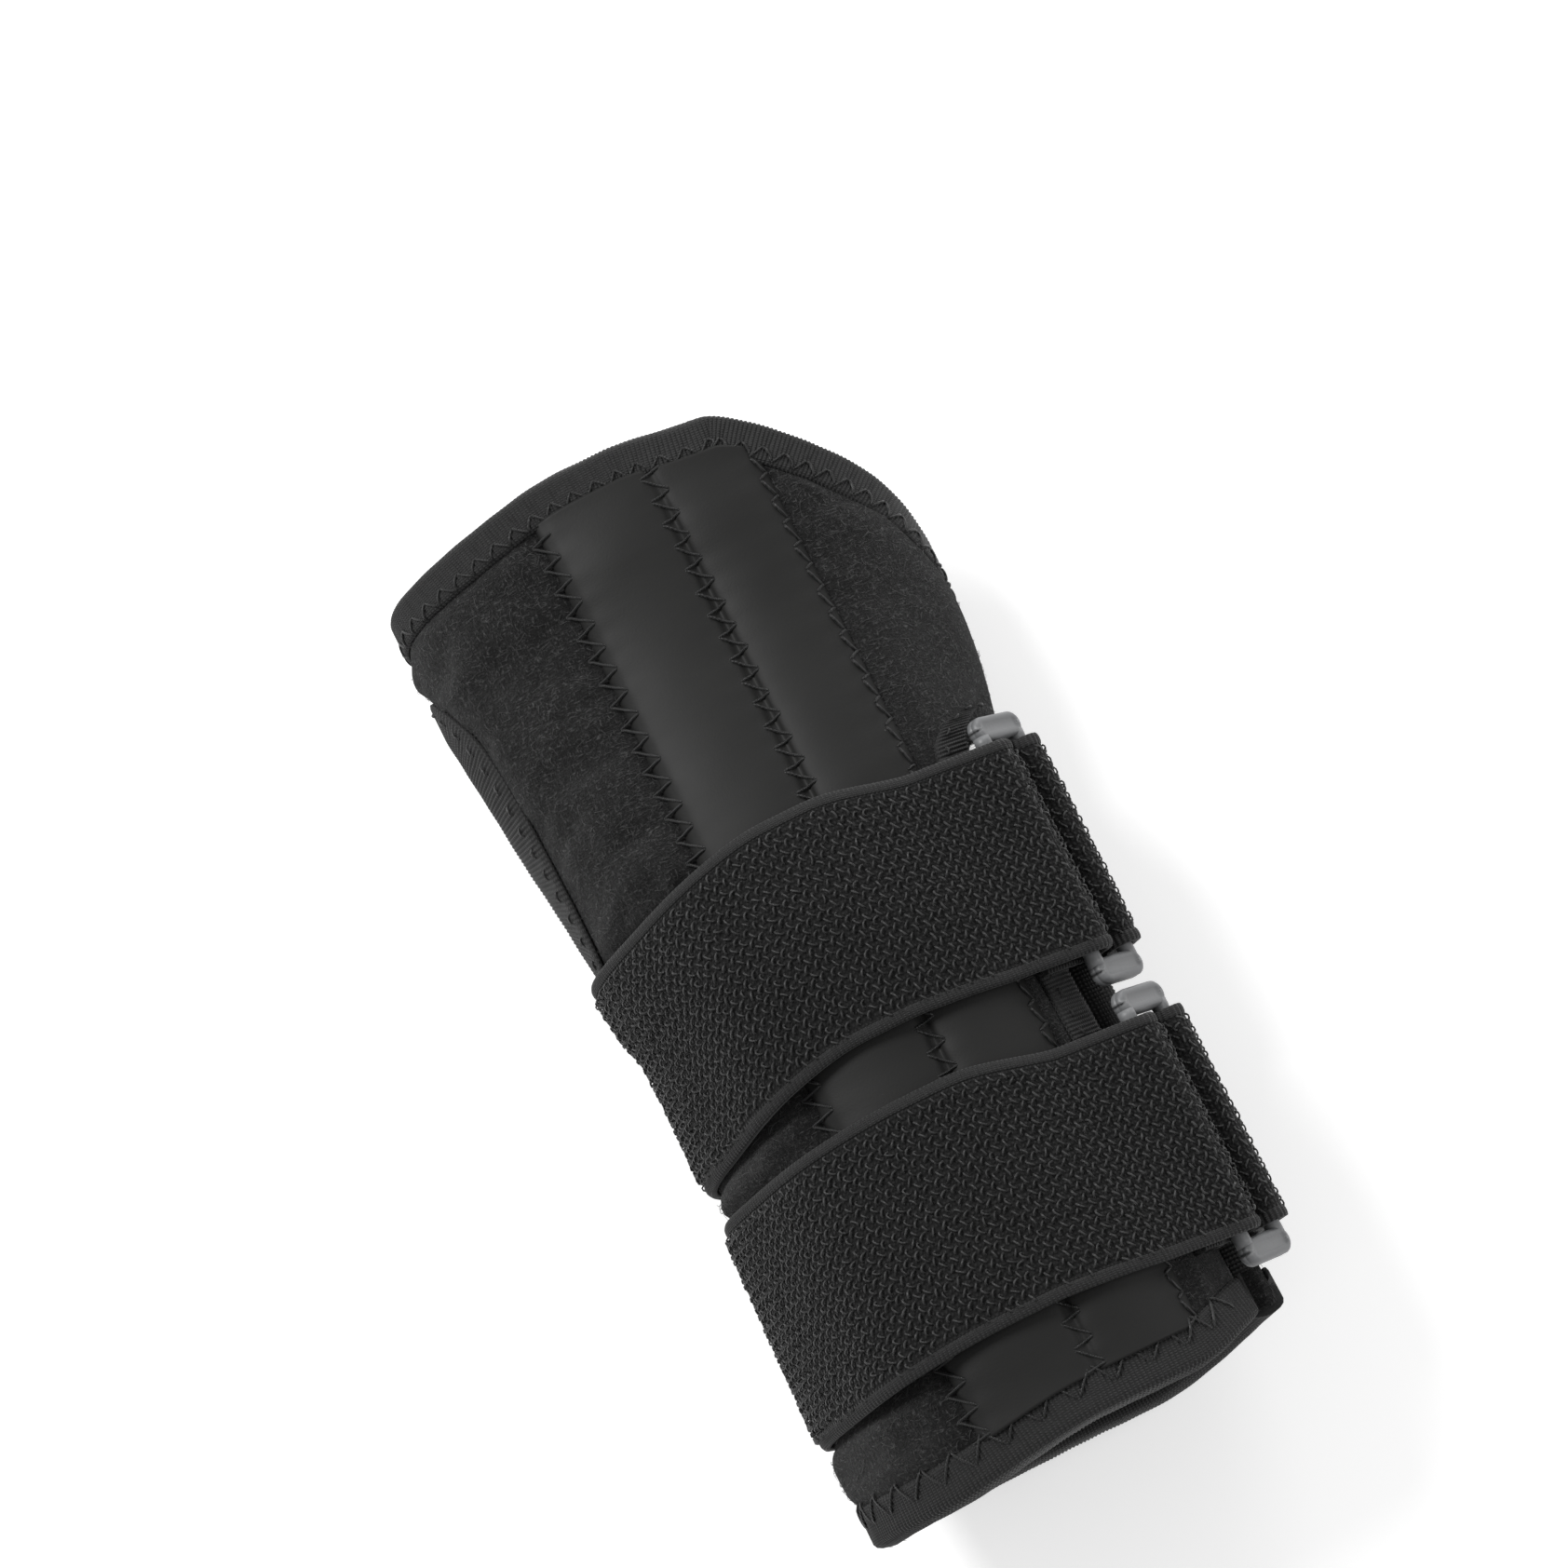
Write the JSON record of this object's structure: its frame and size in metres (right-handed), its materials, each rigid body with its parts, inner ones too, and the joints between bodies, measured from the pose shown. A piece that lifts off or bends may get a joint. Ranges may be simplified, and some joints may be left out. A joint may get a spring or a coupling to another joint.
{
  "type": "wrist splint",
  "caption": "Left wrist splint: padded wrap with a thumb hole, stays under a coated palmar strip, and two hook-and-loop straps through plastic rings.",
  "frame": {"origin": "centre of the box on the surface the splint lies on, dorsal side down", "axes": "+X towards the little-finger side where the rings are, +Y towards the fingers, +Z out of the palmar face"},
  "size_m": [0.0966, 0.1956, 0.063],
  "materials": {
    "shell_felt": "matte brushed loop-faced laminate",
    "foam": "open-cell foam",
    "lining": "soft brushed knit",
    "coated_cover": "satin-matte coated fabric",
    "binding_tape": "ribbed woven tape",
    "thread": "sewing thread",
    "strap_webbing": "loop-knit strap with ribbed selvages",
    "hook_patch": "moulded hooks",
    "ring_plastic": "satin moulded plastic",
    "stay_aluminium": "mill finish",
    "stay_spring": "brushed"
  },
  "bodies": {
    "wrap": {"outer_shell": "shell_felt", "foam_core": "foam", "inner_lining": "lining", "opening_tongue": "lining", "palm_stay_cover": "coated_cover", "palm_stay": "stay_aluminium", "palm_side_stay": "stay_spring", "dorsal_stays": "stay_spring", "hand_edge_binding": "binding_tape", "forearm_edge_binding": "binding_tape", "thumb_hole_binding": "binding_tape", "palmar_opening_binding": "binding_tape", "dorsal_opening_binding": "binding_tape", "cover_stitching": "thread", "binding_stitching": "thread", "tab_stitching": "thread", "upper_strap": "strap_webbing", "lower_strap": "strap_webbing", "upper_ring_tab": "strap_webbing", "lower_ring_tab": "strap_webbing"},
    "upper_ring": {"upper_ring": "ring_plastic"},
    "lower_ring": {"lower_ring": "ring_plastic"},
    "upper_strap_end": {"upper_strap_end": "strap_webbing", "upper_hook_patch": "hook_patch"},
    "lower_strap_end": {"lower_strap_end": "strap_webbing", "lower_hook_patch": "hook_patch"}
  },
  "joints": [
    {"name": "upper_ring_rock", "type": "hinge", "parent": "wrap", "child": "upper_ring", "pos_m": [0.0443, -0.0022, 0.03485], "axis": [0, 1, 0], "range_deg": [-4, 4]},
    {"name": "lower_ring_rock", "type": "hinge", "parent": "wrap", "child": "lower_ring", "pos_m": [0.04488, -0.057, 0.03927], "axis": [0, 1, 0], "range_deg": [-4, 4]},
    {"name": "upper_strap_peel", "type": "hinge", "parent": "wrap", "child": "upper_strap_end", "pos_m": [-0.01868, -0.0115, 0.001], "axis": [0, 1, 0], "range_deg": [0, 100]},
    {"name": "lower_strap_peel", "type": "hinge", "parent": "wrap", "child": "lower_strap_end", "pos_m": [-0.01868, -0.0575, 0.001], "axis": [0, 1, 0], "range_deg": [0, 100]}
  ]
}
